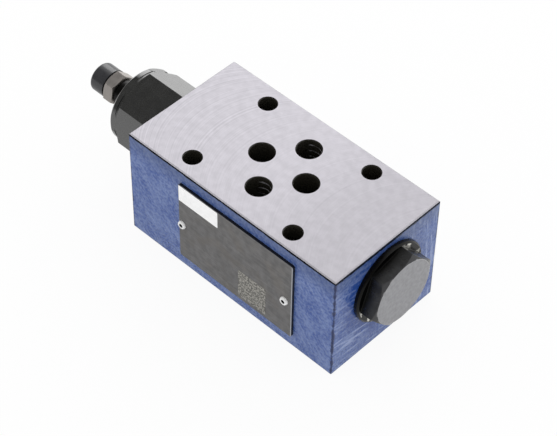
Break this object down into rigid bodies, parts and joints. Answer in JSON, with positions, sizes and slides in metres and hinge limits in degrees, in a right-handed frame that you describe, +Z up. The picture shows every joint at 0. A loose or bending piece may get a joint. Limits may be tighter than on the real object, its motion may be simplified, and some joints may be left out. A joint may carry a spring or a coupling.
{
  "type": "hydraulic sandwich valve",
  "caption": "Sandwich plate pressure relief valve: a cast block with ground mounting faces, through channels and bolt holes, a hexagon adjuster with lock nut and cap, and an end plug.",
  "frame": {"origin": "centre of the bolt pattern on the lower mounting face", "axes": "+X from the adjuster end to the plug end, +Y away from the name plate, +Z up to the upper mounting face"},
  "size_m": [0.1251, 0.0452, 0.04],
  "materials": {
    "body_paint": "blue paint over a sand casting, with both mounting faces ground bare",
    "plate_metal": "dark satin",
    "pin_steel": "bright",
    "seal_rubber": "matte",
    "black_steel": "black oxide",
    "ground_steel": "ground",
    "backup_plastic": "matte",
    "jet_brass": "turned",
    "spring_steel": "drawn wire",
    "screw_steel": "oiled",
    "nut_steel": "dull",
    "cap_plastic": "satin"
  },
  "bodies": {
    "valve": {"valve_body": "body_paint", "name_plate": "plate_metal", "plate_pin_left": "pin_steel", "plate_pin_right": "pin_steel", "port_seal_p": "seal_rubber", "port_seal_t": "seal_rubber", "port_seal_a": "seal_rubber", "port_seal_b": "seal_rubber", "adjuster_sleeve": "black_steel", "sleeve_seal": "seal_rubber", "valve_bush": "ground_steel", "bush_seal": "seal_rubber", "bush_backup_ring": "backup_plastic", "main_spring": "spring_steel", "pilot_seat": "ground_steel", "pilot_spring": "spring_steel", "end_plug": "black_steel", "end_plug_seal": "seal_rubber"},
    "spool": {"main_spool": "ground_steel", "spool_jet": "jet_brass"},
    "poppet": {"pilot_poppet": "ground_steel"},
    "plunger": {"spring_plate": "ground_steel", "spring_plate_seal": "seal_rubber"},
    "screw": {"adjusting_screw": "screw_steel"},
    "nut": {"lock_nut": "nut_steel"},
    "cap": {"protective_cap": "cap_plastic"}
  },
  "joints": [
    {"name": "main_spool_slide", "type": "slide", "parent": "valve", "child": "spool", "axis": [-1, 0, 0], "range_m": [0, 0.003], "stiffness_N_per_m": 2000, "deforming": ["main_spring"]},
    {"name": "pilot_poppet_lift", "type": "slide", "parent": "valve", "child": "poppet", "axis": [-1, 0, 0], "range_m": [0, 0.0012], "stiffness_N_per_m": 6000, "deforming": ["pilot_spring"]},
    {"name": "spring_plate_slide", "type": "slide", "parent": "valve", "child": "plunger", "axis": [1, 0, 0], "range_m": [-0.0025, 0.0025], "deforming": ["pilot_spring"]},
    {"name": "adjusting_screw_turn", "type": "hinge", "parent": "plunger", "child": "screw", "pos_m": [-0.06, 0, 0.024], "axis": [1, 0, 0], "range_deg": [-900, 900]},
    {"name": "lock_nut_turn", "type": "hinge", "parent": "valve", "child": "nut", "pos_m": [-0.069, 0, 0.024], "axis": [-1, 0, 0], "range_deg": [0, 90]},
    {"name": "protective_cap_pull", "type": "slide", "parent": "valve", "child": "cap", "axis": [-1, 0, 0], "range_m": [0, 0.01]}
  ],
  "couplings": [
    {"joint": "adjusting_screw_turn", "follows": "spring_plate_slide", "rad_per_m": 6283.2}
  ]
}
